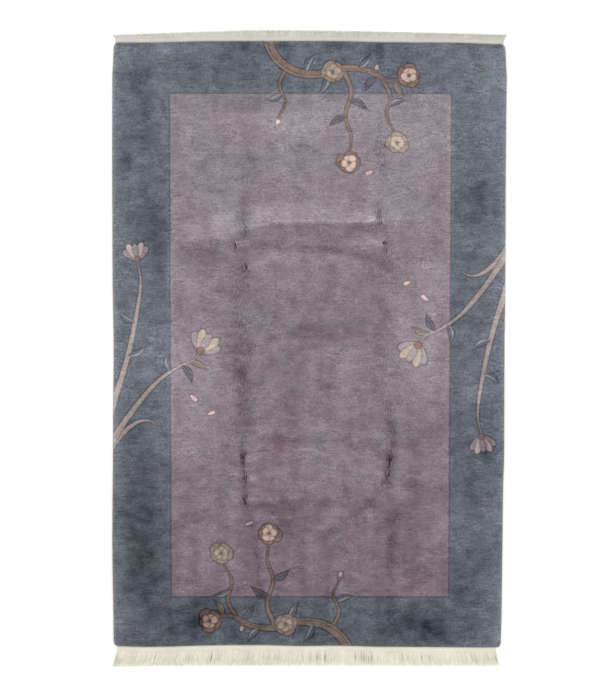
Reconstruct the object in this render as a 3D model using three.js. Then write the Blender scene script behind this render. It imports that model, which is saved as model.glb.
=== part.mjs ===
// A hand-knotted pile rug with a short fringe at both ends, lying flat on the floor.
// Millimetres. +X runs across the width, +Y along the length towards the top end, +Z up.
// The origin is on the floor, under the middle of the overall width and length.

import * as THREE from 'three';

// Driving dimensions
const pileLevel = 14; // top of the pile above the floor: 4 of weave and 10 of pile
const edgeHeight = 7; // height of the overcast edge, where the outline is upright
const cornerRadius = 20;
const pieceGap = 0.3; // clearance between the pile's end and the fringe heading
const columnSpacing = 125; // widest stretch of pile between two columns of the top face
const rowSpacing = 150;

// How the pile rounds down to the overcast edge: height at each distance in from the outline.
const edgeProfile = [
  { inset: 0, height: edgeHeight },
  { inset: 4, height: 10.5 },
  { inset: 12, height: 13 },
  { inset: cornerRadius, height: pileLevel },
];

// The four edges of the pile. A handmade rug is never square: it narrows towards the bottom end,
// and its edges bow a little.
const leftEdge = [
  { y: 1560, x: -1000 },
  { y: 1450, x: -1008 },
  { y: 960, x: -1009 },
  { y: 400, x: -1007 },
  { y: -10, x: -1001 },
  { y: -400, x: -1004 },
  { y: -1000, x: -1008 },
  { y: -1500, x: -1001 },
];
const rightEdge = [
  { y: 1560, x: 1003 },
  { y: 1370, x: 1011 },
  { y: 1170, x: 1008 },
  { y: 760, x: 1005 },
  { y: 300, x: 1003 },
  { y: -10, x: 999 },
  { y: -520, x: 998 },
  { y: -780, x: 991 },
  { y: -1290, x: 986 },
  { y: -1450, x: 983 },
  { y: -1520, x: 980 },
];
const topEdge = [
  { x: -1000, y: 1563 },
  { x: -960, y: 1565 },
  { x: -850, y: 1563 },
  { x: -480, y: 1571 },
  { x: 150, y: 1571 },
  { x: 400, y: 1565 },
  { x: 720, y: 1563 },
  { x: 925, y: 1557 },
  { x: 1005, y: 1554 },
];
const bottomEdge = [
  { x: -990, y: -1525 },
  { x: -850, y: -1530 },
  { x: -400, y: -1520 },
  { x: -240, y: -1520 },
  { x: -50, y: -1525 },
  { x: 150, y: -1523 },
  { x: 380, y: -1529 },
  { x: 930, y: -1532 },
];

// Where the rug was folded for storage. Each line is a crease that still shows in the pile.
const leftFold = [
  { y: 1560, x: -335 },
  { y: -680, x: -330 },
  { y: -1160, x: -237 },
];
const rightFold = [
  { y: 1200, x: 362 },
  { y: 527, x: 388 },
  { y: -225, x: 413 },
];
const upperFold = [
  { x: -420, y: 530 },
  { x: -250, y: 610 },
  { x: 350, y: 610 },
  { x: 480, y: 545 },
];
const lowerFold = [
  { x: -330, y: -590 },
  { x: 413, y: -610 },
];

// How the pile lies at a crease: the drop below the pile's level at each distance from its line.
// The long creases are plain troughs, and the cross creases have a ridge above the trough.
const longCrease = [
  { by: -70, drop: 0 },
  { by: -25, drop: 1.2 },
  { by: 0, drop: 2.4 },
  { by: 25, drop: 1.2 },
  { by: 70, drop: 0 },
];
const crossCrease = [
  { by: -90, drop: 0 },
  { by: -35, drop: 1.6 },
  { by: 0, drop: 2 },
  { by: 30, drop: -0.8 },
  { by: 65, drop: -1.2 },
  { by: 120, drop: 0 },
];

// The fringe: a flat-woven heading next to the pile, then the free warp ends as comb teeth.
const fringeThickness = 3;
const toothPitch = 16;
const toothRoot = 12; // width at the heading
const toothTip = 8.5; // width at the free end
const topFringe = {
  heading: 27,
  sideAtPile: { left: -992, right: 994 },
  sideAtTips: { left: -1008, right: 1014 },
  tips: [
    { x: -1010, y: 1606 },
    { x: -850, y: 1612 },
    { x: -480, y: 1625 },
    { x: -280, y: 1632 },
    { x: 130, y: 1627 },
    { x: 600, y: 1617 },
    { x: 1010, y: 1606 },
  ],
  unevenness: 5,
};
const bottomFringe = {
  heading: 28,
  sideAtPile: { left: -984, right: 957 },
  sideAtTips: { left: -1012, right: 979 },
  tips: [
    { x: -1010, y: -1632 },
    { x: -800, y: -1627 },
    { x: 0, y: -1624 },
    { x: 1000, y: -1629 },
  ],
  unevenness: 9,
};

// The value of a table's column at a place along it, eased between the rows and level past its ends.
function along(table, key, place, column) {
  const rows = [...table].sort((a, b) => a[key] - b[key]);
  if (place <= rows[0][key]) return rows[0][column];
  for (let i = 1; i < rows.length; i += 1) {
    const [from, to] = [rows[i - 1], rows[i]];
    if (place <= to[key]) {
      const share = THREE.MathUtils.smoothstep(place, from[key], to[key]);
      return THREE.MathUtils.lerp(from[column], to[column], share);
    }
  }
  return rows[rows.length - 1][column];
}

// Grid lines at rest between two lines: each is a share of the way from one to the next.
function stretch(fromLine, toLine, spacing, middle) {
  const [start, end] = [fromLine(middle), toLine(middle)];
  const count = Math.ceil(Math.abs(end - start) / spacing);
  return Array.from({ length: count - 1 }, (_, i) => {
    const share = (i + 1) / count;
    return { at: (place) => THREE.MathUtils.lerp(fromLine(place), toLine(place), share), drop: 0 };
  });
}

// The lines of one direction, from its low side to its high side: the edge profile, the creases,
// and plain stretches between them.
function gridLines(low, high, folds, crease, spacing) {
  const rim = (edge, inward) => edgeProfile.map(({ inset, height }) => ({
    at: (place) => edge(place) + inward * inset,
    drop: pileLevel - height,
    inset,
  }));
  const groups = [
    rim(low, 1),
    ...folds.map((fold) => crease.map(({ by, drop }) => ({ at: (place) => fold(place) + by, drop }))),
    rim(high, -1).reverse(),
  ];
  return groups.flatMap((group, i) => {
    const next = groups[i + 1];
    const between = next ? stretch(group.at(-1).at, next[0].at, spacing, 0) : [];
    return [...group, ...between];
  });
}

// Moves the square corner of the grid onto a round one. The shares are how far a point is past the
// start of the corner in each direction, of the corner's radius.
function roundCorner(shareX, shareY) {
  return [shareX * Math.sqrt(1 - shareY ** 2 / 2), shareY * Math.sqrt(1 - shareX ** 2 / 2)];
}

// The top face of the pile, as rows of points that follow the edges and the creases.
function pileFace() {
  const left = (y) => along(leftEdge, 'y', y, 'x');
  const right = (y) => along(rightEdge, 'y', y, 'x');
  const top = (x) => along(topEdge, 'x', x, 'y');
  const bottom = (x) => along(bottomEdge, 'x', x, 'y');
  const longFolds = [leftFold, rightFold].map((fold) => (y) => along(fold, 'y', y, 'x'));
  const crossFolds = [lowerFold, upperFold].map((fold) => (x) => along(fold, 'x', x, 'y'));
  const columns = gridLines(left, right, longFolds, longCrease, columnSpacing);
  const rows = gridLines(bottom, top, crossFolds, crossCrease, rowSpacing);

  return rows.map((row, j) => columns.map((column, i) => {
    let x = column.at(row.at(column.at(0)));
    let y = row.at(x);
    const onRim = column.inset !== undefined || row.inset !== undefined;
    const drop = onRim ? Math.max(column.inset === undefined ? 0 : column.drop,
      row.inset === undefined ? 0 : row.drop) : column.drop + row.drop;
    if (column.inset !== undefined && row.inset !== undefined) {
      const [sideX, sideY] = [Math.sign(i * 2 - columns.length), Math.sign(j * 2 - rows.length)];
      const [outX, outY] = [cornerRadius - column.inset, cornerRadius - row.inset];
      const [roundX, roundY] = roundCorner(outX / cornerRadius, outY / cornerRadius);
      x += sideX * (roundX * cornerRadius - outX);
      y += sideY * (roundY * cornerRadius - outY);
    }
    return new THREE.Vector3(x, y, pileLevel - drop);
  }));
}

// A closed solid from the top face: the face, an upright wall round it and a flat underside.
function bodyGeometry(face) {
  const [rowCount, columnCount] = [face.length, face[0].length];
  const points = face.flat();
  const index = (j, i) => j * columnCount + i;
  const triangles = [];
  for (let j = 0; j + 1 < rowCount; j += 1) {
    for (let i = 0; i + 1 < columnCount; i += 1) {
      const [a, b, c, d] = [index(j, i), index(j, i + 1), index(j + 1, i + 1), index(j + 1, i)];
      triangles.push(a, b, c, a, c, d);
    }
  }

  const rim = [
    ...Array.from({ length: columnCount - 1 }, (_, i) => index(0, i)),
    ...Array.from({ length: rowCount - 1 }, (_, j) => index(j, columnCount - 1)),
    ...Array.from({ length: columnCount - 1 }, (_, i) => index(rowCount - 1, columnCount - 1 - i)),
    ...Array.from({ length: rowCount - 1 }, (_, j) => index(rowCount - 1 - j, 0)),
  ];
  const foot = points.length;
  rim.forEach((at) => points.push(new THREE.Vector3(points[at].x, points[at].y, 0)));
  rim.forEach((at, k) => {
    const next = (k + 1) % rim.length;
    triangles.push(foot + k, foot + next, rim[next], foot + k, rim[next], at);
  });
  const outline = rim.map((at) => new THREE.Vector2(points[at].x, points[at].y));
  THREE.ShapeUtils.triangulateShape(outline, []).forEach(([a, b, c]) => {
    triangles.push(foot + a, foot + c, foot + b);
  });

  const geometry = new THREE.BufferGeometry().setFromPoints(points);
  geometry.setIndex(triangles);
  geometry.computeVertexNormals();
  return geometry;
}

// The height of a line of straight stretches at a place across the width.
function onLine(points, x) {
  const next = Math.max(1, points.findIndex((point) => point.x >= x));
  return THREE.MathUtils.mapLinear(x, points[next - 1].x, points[next].x, points[next - 1].y, points[next].y);
}

// One end's fringe as a flat comb: its heading follows the pile's end, and each tooth leans and
// stops a little differently from the next.
function fringeGeometry(end, pileEnd, outward) {
  const { heading, sideAtPile, sideAtTips, tips, unevenness } = end;
  const spread = (x) => THREE.MathUtils.mapLinear(
    x, sideAtPile.left, sideAtPile.right, sideAtTips.left, sideAtTips.right,
  );
  const inner = (x) => onLine(pileEnd, x) + outward * pieceGap;
  const count = Math.floor((sideAtPile.right - sideAtPile.left) / toothPitch);
  const pitch = (sideAtPile.right - sideAtPile.left) / count;

  const teeth = Array.from({ length: count }, (_, k) => {
    const rootX = sideAtPile.left + (k + 0.5) * pitch;
    const lean = 3 * Math.sin(k * 2.4) * Math.sin(k * 0.37);
    const tipX = spread(rootX) + (k === 0 || k === count - 1 ? 0 : lean);
    const short = unevenness * (0.5 + 0.5 * Math.sin(k * 1.9 + 2 * Math.sin(k * 0.6)));
    const rootY = inner(rootX) + outward * heading;
    const tipY = along(tips, 'x', tipX, 'y') - outward * short;
    return [
      new THREE.Vector2(rootX - toothRoot / 2, rootY),
      new THREE.Vector2(tipX - toothTip / 2, tipY),
      new THREE.Vector2(tipX + toothTip / 2, tipY),
      new THREE.Vector2(rootX + toothRoot / 2, rootY),
    ];
  });
  const betweenSides = pileEnd.filter(({ x }) => x > sideAtPile.left && x < sideAtPile.right);
  const innerEdge = [sideAtPile.left, ...betweenSides.map(({ x }) => x), sideAtPile.right]
    .map((x) => new THREE.Vector2(x, inner(x)));
  const outline = new THREE.Shape([...teeth.flat(), ...innerEdge.reverse()]);
  return new THREE.ExtrudeGeometry(outline, { depth: fringeThickness, bevelEnabled: false });
}

function namedMesh(name, geometry, color, roughness) {
  const mesh = new THREE.Mesh(geometry, new THREE.MeshStandardMaterial({ color, roughness, metalness: 0 }));
  mesh.name = name;
  return mesh;
}

const face = pileFace();
const rug = new THREE.Group();
rug.add(
  namedMesh('rug_body', bodyGeometry(face), 0x82777f, 0.95),
  namedMesh('fringe_top', fringeGeometry(topFringe, face.at(-1), 1), 0xd8d3c6, 0.9),
  namedMesh('fringe_bottom', fringeGeometry(bottomFringe, face[0], -1), 0xdfdbca, 0.9),
);

export default rug;
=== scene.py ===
import bmesh
import bpy
import math
import numpy as np
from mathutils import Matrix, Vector, geometry, kdtree, noise


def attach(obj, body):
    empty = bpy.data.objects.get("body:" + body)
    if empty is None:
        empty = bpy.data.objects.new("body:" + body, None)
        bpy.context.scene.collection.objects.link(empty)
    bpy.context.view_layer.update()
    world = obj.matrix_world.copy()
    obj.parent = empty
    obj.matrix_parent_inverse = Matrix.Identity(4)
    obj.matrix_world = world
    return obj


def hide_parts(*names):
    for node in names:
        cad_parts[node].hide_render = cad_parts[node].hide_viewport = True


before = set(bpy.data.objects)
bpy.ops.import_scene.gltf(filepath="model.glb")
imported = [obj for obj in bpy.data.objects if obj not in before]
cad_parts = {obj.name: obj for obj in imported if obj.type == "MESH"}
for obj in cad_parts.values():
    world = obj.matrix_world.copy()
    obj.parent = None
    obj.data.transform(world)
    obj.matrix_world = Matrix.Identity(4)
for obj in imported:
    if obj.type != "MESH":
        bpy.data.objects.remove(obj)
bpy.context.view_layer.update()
print("frame loaded")


def newMaterial(name, roughness, shine):
    material = bpy.data.materials.new(name)
    material.use_nodes = True
    shader = material.node_tree.nodes["Principled BSDF"]
    shader.inputs["Roughness"].default_value = roughness
    shader.inputs["Specular IOR Level"].default_value = shine
    return material, shader


# camera, floor and light

studio = dict(
    lens=85.0,
    sensor=36.0,
    viewLength=3.584,          # metres of floor along the picture's long side
    aim=(-0.014, -0.010),
    floorSize=60.0,
    floorDrop=0.0002,          # how far the floor lies below the rug's foot
    floorShade=(0.985, 0.985, 0.98),
    floorRoughness=0.9,
    floorShine=0.1,
    skyStrength=0.80,
    lamps=(
        dict(name="softKey", place=(-2.6, 4.4, 5.2), size=(3.6, 3.6), power=120.0),
        dict(name="softFill", place=(2.8, -4.6, 6.0), size=(4.5, 4.5), power=122.0),
    ),
)


def makeStudio():
    scene = bpy.context.scene
    scene.view_settings.view_transform = "Standard"
    height = studio["viewLength"] / studio["sensor"] * studio["lens"]
    bpy.ops.object.camera_add(location=(*studio["aim"], height), rotation=(0, 0, 0))
    camera = bpy.context.object
    camera.data.lens = studio["lens"]
    camera.data.sensor_width = studio["sensor"]
    scene.camera = camera

    bpy.ops.mesh.primitive_plane_add(size=studio["floorSize"], location=(0, 0, -studio["floorDrop"]))
    floor = bpy.context.object
    floor.name = "studioFloor"
    paint, shader = newMaterial("paleFloor", studio["floorRoughness"], studio["floorShine"])
    shader.inputs["Base Color"].default_value = (*studio["floorShade"], 1)
    floor.data.materials.append(paint)

    for lamp in studio["lamps"]:
        bpy.ops.object.light_add(type="AREA", location=lamp["place"])
        light = bpy.context.object
        light.name = lamp["name"]
        light.data.shape = "RECTANGLE"
        light.data.size, light.data.size_y = lamp["size"]
        light.data.energy = lamp["power"]
        light.rotation_mode = "QUATERNION"
        light.rotation_quaternion = (-Vector(lamp["place"])).to_track_quat("-Z", "Y")

    sky = bpy.data.worlds.new("studioSky")
    sky.use_nodes = True
    background = sky.node_tree.nodes["Background"]
    background.inputs["Color"].default_value = (1, 1, 1, 1)
    background.inputs["Strength"].default_value = studio["skyStrength"]
    scene.world = sky


makeStudio()
print("studio ready")


# yarns: the two shades each was dyed in, as screen colours from 0 to 255, how uneven each is, how
# much colour its dark places gain over its light ones, as painted sheen greys the light ones, and how
# much more of the second shade each metre towards the top end has, a painted sheen that greys the top end

yarns = dict(
    slate=((97.8, 107, 114.7), (103.2, 104.6, 117.1), 1.15, 0.20, 0.0),
    mauve=((134.5, 118.3, 128), (131, 121, 128), 0.90, 0.55, 0.40),
    bark=((128, 108, 100), (138, 116, 108), 1.0, 0.0, 0.0),
    tan=((156, 140, 128), (144, 127, 120), 0.8, 0.0, 0.0),
    reed=((164, 151, 145), (150, 138, 137), 0.8, 0.0, 0.0),
    peach=((208, 182, 173), (198, 172, 163), 0.6, 0.0, 0.0),
    rust=((138, 112, 103), (126, 104, 97), 0.8, 0.0, 0.0),
    ivory=((183, 168, 151), (171, 156, 143), 0.7, 0.0, 0.0),
    olive=((136, 122, 106), (122, 110, 98), 0.8, 0.0, 0.0),
    pine=((99, 97, 106), (107, 104, 112), 0.9, 0.0, 0.0),
    mist=((139, 140, 149), (148, 145, 151), 0.8, 0.0, 0.0),
    lilac=((151, 139, 147), (159, 146, 149), 0.7, 0.0, 0.0),
    blush=((197, 174, 176), (187, 166, 170), 0.6, 0.0, 0.0),
)


def fromScreen(shade):
    parts = [c / 255 for c in shade]
    return tuple(c / 12.92 if c <= 0.04045 else ((c + 0.055) / 1.055) ** 2.4 for c in parts)


def addNode(tree, kind, **settings):
    node = tree.nodes.new(kind)
    for name, value in settings.items():
        if name in node.inputs:
            node.inputs[name].default_value = value
        else:
            setattr(node, name, value)
    return node


def addMath(tree, operation, first, second):
    node = addNode(tree, "ShaderNodeMath", operation=operation)
    for socket, value in zip(node.inputs, (first, second)):
        if isinstance(value, (int, float)):
            socket.default_value = value
        else:
            tree.links.new(value, socket)
    return node.outputs["Value"]


def plus(tree, first, second):
    return addMath(tree, "ADD", first, second)


def times(tree, first, second):
    return addMath(tree, "MULTIPLY", first, second)


def readMark(tree, name):
    # a tone or depth that the mesh carries at each point
    return addNode(tree, "ShaderNodeAttribute", attribute_name=name).outputs["Fac"]


def addBump(tree, shader, height, strength, distance):
    bump = addNode(tree, "ShaderNodeBump", Strength=strength, Distance=distance)
    tree.links.new(height, bump.inputs["Height"])
    tree.links.new(bump.outputs["Normal"], shader.inputs["Normal"])


def addNoise(tree, place, stretch, strength, detail, roughness):
    # noise about zero, with so many features a metre along each axis
    mapping = addNode(tree, "ShaderNodeMapping", Scale=stretch)
    tree.links.new(place, mapping.inputs["Vector"])
    cloud = addNode(tree, "ShaderNodeTexNoise", Scale=1.0, Detail=detail, Roughness=roughness)
    tree.links.new(mapping.outputs["Vector"], cloud.inputs["Vector"])
    return times(tree, addMath(tree, "SUBTRACT", cloud.outputs["Fac"], 0.5), strength)


pileLook = dict(
    # each: features a metre along X, Y and Z, strength, detail, roughness
    noises=dict(
        tufts=((92, 124, 100), 1.15, 2, 0.6),
        dashes=((22, 150, 40), 0.90, 2, 0.6),
        mottle=((14, 19, 14), 1.00, 3, 0.6),
        clouds=((3.4, 4.2, 4.0), 0.50, 3, 0.6),
        bands=((9.0, 0.9, 5.0), 0.45, 2, 0.5),
        dye=((3.5, 4.0, 3.5), 1.8, 2, 0.5),
        washed=((2.4, 3.0, 2.4), 0.7, 2, 0.5),    # where the colour has washed out or held
        gaping=((9, 12, 9), 2.4, 2, 0.5),
        fibres=((520, 640, 520), 1.5, 2, 0.6),
        slits=((170, 40, 80), 6.5, 1, 0.5),       # where the folds part the pile: bumps, with painted shade and light in the slits
        wraps=((260, 260, 20), 2.2, 1, 0.5),      # the overcasting round the edge
    ),
    knotPitch=0.0042,      # from one tuft to the next
    knotSoftness=0.5,
    knotScatter=0.9,
    knotReach=0.55,        # tufts are painted darker beyond this share of their pitch, as shade between them
    betweenKnots=0.50,     # how strongly they do
    knotTone=0.45,         # and how unlike their own tones are
    paintedLightToTop=0.120,        # painted light: how much lighter each metre towards the top end is painted
    # painted shade in the carved grooves, partly also the darker roots of the cut pile
    grooveShade=0.34,
    bumpStrength=1.0,
    bumpHeight=0.0013,
    roughness=0.92,
    shine=0.2,
    sheen=0.10,
    sheenRoughness=0.6,
)


def makePile(name, shades, uneven, bloom, paintedSheenToTop):
    look = pileLook
    material, shader = newMaterial(name, look["roughness"], look["shine"])
    tree = material.node_tree
    place = addNode(tree, "ShaderNodeTexCoord").outputs["Object"]
    tufts, dashes, mottle, clouds, bands, dye, washed, gaping, fibres, slits, wraps = (
        addNoise(tree, place, *row) for row in look["noises"].values())
    # the mesh carries painted light and shade (folds, nap places, groove edges, edge), the folds' parting,
    # the rim's grey and the grooves
    parted, rim, napPaintedLight, groove = (readMark(tree, mark) for mark in ("parted", "rim", "napPaintedLight", "groove"))

    # the tufts show where the pile stands open and close up elsewhere
    grain = times(tree, plus(tree, tufts, dashes), plus(tree, gaping, 1.0))
    grain = plus(tree, grain, fibres)
    cells = addNode(tree, "ShaderNodeTexVoronoi", feature="SMOOTH_F1", Scale=1 / look["knotPitch"],
                    Smoothness=look["knotSoftness"], Randomness=look["knotScatter"])
    tree.links.new(place, cells.inputs["Vector"])
    # painted shade between the tufts, which the bump takes too
    between = addMath(tree, "SUBTRACT", look["knotReach"], cells.outputs["Distance"])
    own = addMath(tree, "SUBTRACT", cells.outputs["Color"], 0.5)
    knots = plus(tree, times(tree, between, look["betweenKnots"]), times(tree, own, look["knotTone"]))
    grain = plus(tree, grain, knots)
    # the slits add bumps and painted shade and light where folds part the pile; the wraps are the
    # overcasting round the edge
    for marks, amount in ((slits, parted), (wraps, rim)):
        grain = plus(tree, grain, times(tree, marks, amount))

    split = addNode(tree, "ShaderNodeSeparateXYZ")
    tree.links.new(place, split.inputs["Vector"])
    towardsTop = split.outputs["Y"]
    tone = times(tree, plus(tree, mottle, plus(tree, clouds, bands)), uneven)
    # painted shade in the carved grooves, partly also the darker roots of the cut pile
    shade = times(tree, groove, -look["grooveShade"])
    # painted shade in the grooves, painted light towards the top end, and the mesh's painted light and
    # shade
    for part in (shade, times(tree, towardsTop, look["paintedLightToTop"]), napPaintedLight):
        tone = plus(tree, part, tone)
    tone = plus(tree, tone, times(tree, grain, times(tree, plus(tree, tone, 1.0), uneven)))

    first, second = (np.array(fromScreen(dyeing)) for dyeing in shades)
    dyed = addNode(tree, "ShaderNodeMix", data_type="RGBA")
    dyed.inputs["A"].default_value = (*first, 1)
    dyed.inputs["B"].default_value = (*second, 1)
    # painted sheen: more of the greyer second shade towards the top end
    topSheen = times(tree, towardsTop, paintedSheenToTop)
    tree.links.new(plus(tree, plus(tree, dye, 0.5), topSheen), dyed.inputs["Factor"])
    middle = (first + second) / 2
    greyed = addNode(tree, "ShaderNodeVectorMath", operation="SCALE")
    greyed.inputs[0].default_value = middle.mean() - middle
    lit = plus(tree, tone, 1.0)
    # painted sheen greys the lighter places, besides the rim's grey and the washed-out places
    greying = plus(tree, times(tree, tone, bloom), times(tree, rim, lit))
    tree.links.new(plus(tree, greying, washed), greyed.inputs["Scale"])
    shaded = addNode(tree, "ShaderNodeVectorMath", operation="MULTIPLY_ADD")
    for socket, value in zip(shaded.inputs, (dyed.outputs["Result"], lit, greyed.outputs["Vector"])):
        tree.links.new(value, socket)
    tree.links.new(shaded.outputs["Vector"], shader.inputs["Base Color"])
    shader.inputs["Sheen Weight"].default_value = look["sheen"]
    shader.inputs["Sheen Roughness"].default_value = look["sheenRoughness"]
    addBump(tree, shader, grain, look["bumpStrength"], look["bumpHeight"])
    return material


pileMaterials = {name: makePile(name + "Pile", row[:2], *row[2:]) for name, row in yarns.items()}
print("pile yarns dyed:", len(pileMaterials))


# outlines of the motifs, in millimetres from the middle of the rug

motifStep = 6.5       # spacing of the points along a carved outline


def smoothLine(rows, step=motifStep):
    rows = np.array(rows, float)
    rows = np.vstack([2 * rows[0] - rows[1], rows, 2 * rows[-1] - rows[-2]])
    line = []
    for a, b, c, d in zip(rows, rows[1:], rows[2:], rows[3:]):
        count = max(2, math.ceil(np.linalg.norm((c - b)[:2]) / step))
        for t in np.arange(count) / count:
            bend = (2 * a - 5 * b + 4 * c - d) * t ** 2 + (3 * b - 3 * c + d - a) * t ** 3
            line.append((2 * b + (c - a) * t + bend) / 2)
    return np.array([*line, rows[-2]])


def stemLoop(rows, side=0.0, share=1.0):
    # a stem from rows of x, y and width; side and share place a narrower strip on it
    line = smoothLine(rows)
    way = np.gradient(line[:, :2], axis=0)
    way /= np.linalg.norm(way, axis=1, keepdims=True)
    across = np.stack([-way[:, 1], way[:, 0]], 1)
    half = line[:, 2:3] / 2
    middle = line[:, :2] + across * half * side
    right, left = middle - across * half * share, middle + across * half * share
    count = max(1, round(math.pi * half[-1, 0] * share / motifStep) - 1)
    turns = [math.pi * (k + 1) / (count + 1) for k in range(count)]
    tip = [middle[-1] + half[-1] * share * (way[-1] * math.sin(a) - across[-1] * math.cos(a))
           for a in turns]
    return np.vstack([right, tip, left[::-1]])


def turned(loop, x, y, turn):
    a = math.radians(turn)
    rotation = np.array([[math.cos(a), math.sin(a)], [-math.sin(a), math.cos(a)]])
    return np.array(loop) @ rotation + (x, y)


# the small loops: the fewest points of each, and what gives it its outline
loopShape = dict(
    petalLeast=8,
    petalPoints=1.3,           # for each step of its length and width together
    petalBroad=(0.86, 0.2),    # its width beside a plain oval's, and how much more towards the tip
    notchWidth=0.4,
    leafLeast=6,
    leafBow=0.5,
    leafFull=0.85,             # under 1, a leaf is broadest below its middle
    roundLeast=7,
)


def petalLoop(length, width, notch=0.0, start=0.0):
    # a petal along +X, broadest past its middle, with a notch in its tip
    count = max(loopShape["petalLeast"], round(loopShape["petalPoints"] * (length + width) / motifStep))
    plain, more = loopShape["petalBroad"]
    loop = []
    for k in range(count):
        a = 2 * math.pi * k / count - math.pi
        reach = length / 2 * (1 - notch * math.exp(-(a / loopShape["notchWidth"]) ** 2))
        x = start + length / 2 + reach * math.cos(a)
        loop.append((x, width / 2 * math.sin(a) * (plain + more * math.cos(a))))
    return np.array(loop)


def leafHalves(length, width, bend):
    # the two halves of a pointed leaf along +X, either side of its midrib
    count = max(loopShape["leafLeast"], round(length / motifStep))
    t = np.arange(count + 1) / count
    rib = np.stack([t * length, bend * length * np.sin(math.pi * t) * loopShape["leafBow"]], 1)
    half = width / 2 * np.sin(math.pi * t ** loopShape["leafFull"])[1:-1]
    aside = np.stack([0 * half, half], 1)
    lower, upper = rib[1:-1] - aside, rib[1:-1] + aside
    return np.vstack([rib[:1], lower, rib[-1:], rib[-2:0:-1]]), np.vstack([rib, upper[::-1]])


def roundLoop(radius, lobes=0, depth=0.0):
    count = max(loopShape["roundLeast"], round(2 * math.pi * radius / motifStep))
    turns = [2 * math.pi * k / count for k in range(count)]
    reach = [radius * (1 + depth * math.cos(lobes * a)) for a in turns]
    return np.array([(r * math.cos(a), r * math.sin(a)) for r, a in zip(reach, turns)])


shapes = []           # every yarn area, from the lowest to the one on top


def lay(yarn, loop):
    shapes.append(dict(yarn=yarn, loop=np.array(loop) / 1000))


# the two rings of a blossom: the order its petals are laid in, where their unevenness is read, and
# for the size, the width and the lean of a petal the middle value and how far it strays
petalRings = (
    dict(order=(0, 2, 4, 1, 3), at=(0.031, 0.017, 1.7, 0), size=(1, 0.30), width=(1.18, 0.2),
         lean=(0, 26), notch=0.06),
    dict(order=(1, 3, 0, 4, 2), at=(0.023, 0.029, 1.3, 9), size=(0.66, 0.24), width=(0.74, 0),
         lean=(36, 30), notch=0.0),
)
# its heart: the share of the radius, then how the round edge wavers
heartShape = (0.17, 3, 0.15)


def layBlossom(x, y, radius, turn, outer, inner, heart):
    # petals of unlike size, laid over each other round a broad pale middle
    for ring, yarn in zip(petalRings, (outer, inner)):
        for k in ring["order"]:
            scaleX, scaleY, scaleK, shift = ring["at"]
            uneven = noise.noise((x * scaleX, y * scaleY, k * scaleK + shift))
            size, width = (radius * (usual + strays * uneven)
                           for usual, strays in (ring["size"], ring["width"]))
            lean = turn + ring["lean"][0] + 72 * k + ring["lean"][1] * uneven
            lay(yarn, turned(petalLoop(size, width, ring["notch"]), x, y, lean))
    share, lobes, depth = heartShape
    lay(heart, turned(roundLoop(radius * share, lobes, depth), x, y, turn))


# the petals of a half-open flower, from the lowest: how far each leans, its length and width, and
# whether it is an outer one
openPetals = (
    (48, 0.92, 0.46, True), (-48, 0.92, 0.46, True), (24, 1, 0.44, False), (-24, 1, 0.44, False),
    (0, 0.9, 0.36, True),
)
# green cups and the bud's one petal: length, width, notch and start, beside the flower's size
openCup = (0.34, 0.42, 0, -0.12)
budCup = (0.5, 0.52, 0.2, -0.08)
budPetal = (1, 0.6)


def layCup(x, y, size, turn, yarn, shape):
    length, width, notch, start = shape
    lay(yarn, turned(petalLoop(size * length, size * width, notch, size * start), x, y, turn))


def layOpening(x, y, size, turn, cup, outer, inner):
    # a half-open flower seen from the side
    for lean, length, width, isOuter in openPetals:
        petal = petalLoop(size * length, size * width)
        lay(outer if isOuter else inner, turned(petal, x, y, turn + lean))
    layCup(x, y, size, turn, cup, openCup)


def layBud(x, y, size, turn, cup, petal):
    length, width = budPetal
    lay(petal, turned(petalLoop(size * length, size * width), x, y, turn))
    layCup(x, y, size, turn, cup, budCup)


def layLeaf(x, y, turn, length, width, bend, yarn, other):
    for half, dye in zip(leafHalves(length, width, bend), (yarn, other)):
        lay(dye, turned(half, x, y, turn))


field = dict(
    corners=((-706, -1272), (713, -1272), (728, 1302), (-715, 1302)),
    step=12.0,
)

# a flowering branch along the middle of the top border, with twigs that droop into the field
endBranch = dict(
    stems=(
        ((172, 1428, 26), (215, 1310, 22), (185, 1190, 17), (215, 1080, 12), (205, 1000, 9)),
        ((362, 1392, 21), (415, 1290, 17), (395, 1195, 13), (436, 1105, 9)),
        ((-108, 1442, 22), (-152, 1350, 17), (-122, 1262, 12), (-150, 1195, 8)),
        ((-230, 1640, 58), (-180, 1500, 50), (-80, 1418, 44), (50, 1400, 40), (180, 1432, 34),
         (300, 1418, 27), (400, 1368, 20), (470, 1380, 12)),
    ),
    strip=(-0.62, 0.24),      # the tan strip along the last stem: how far aside, and its share of the width
    leaves=(
        (-20, 1408, 62, 104, 34, 0.2, "mist", "slate"), (95, 1402, -112, 108, 36, 0.2, "pine", "mist"),
        (250, 1432, 48, 96, 32, -0.2, "mist", "slate"), (345, 1390, -128, 96, 32, -0.2, "pine", "pine"),
        (205, 1268, -28, 104, 34, 0.2, "pine", "pine"), (190, 1182, 208, 100, 34, -0.2, "pine", "pine"),
        (408, 1236, 20, 90, 30, 0.2, "pine", "mist"), (-136, 1300, 200, 92, 32, 0.2, "mist", "slate"),
        (-205, 1555, 150, 92, 32, -0.2, "mist", "slate"), (440, 1372, -62, 92, 30, -0.2, "tan", "olive"),
    ),
    blossoms=(
        (205, 948, 62, 10, "rust", "peach", "olive"), (450, 1050, 58, 25, "tan", "ivory", "olive"),
        (120, 1412, 58, 40, "tan", "ivory", "olive"), (510, 1394, 60, 5, "rust", "peach", "rust"),
    ),
    buds=((-152, 1185, 46, -105, "rust", "blush"), (338, 1408, 44, 74, "rust", "blush")),
)

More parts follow.
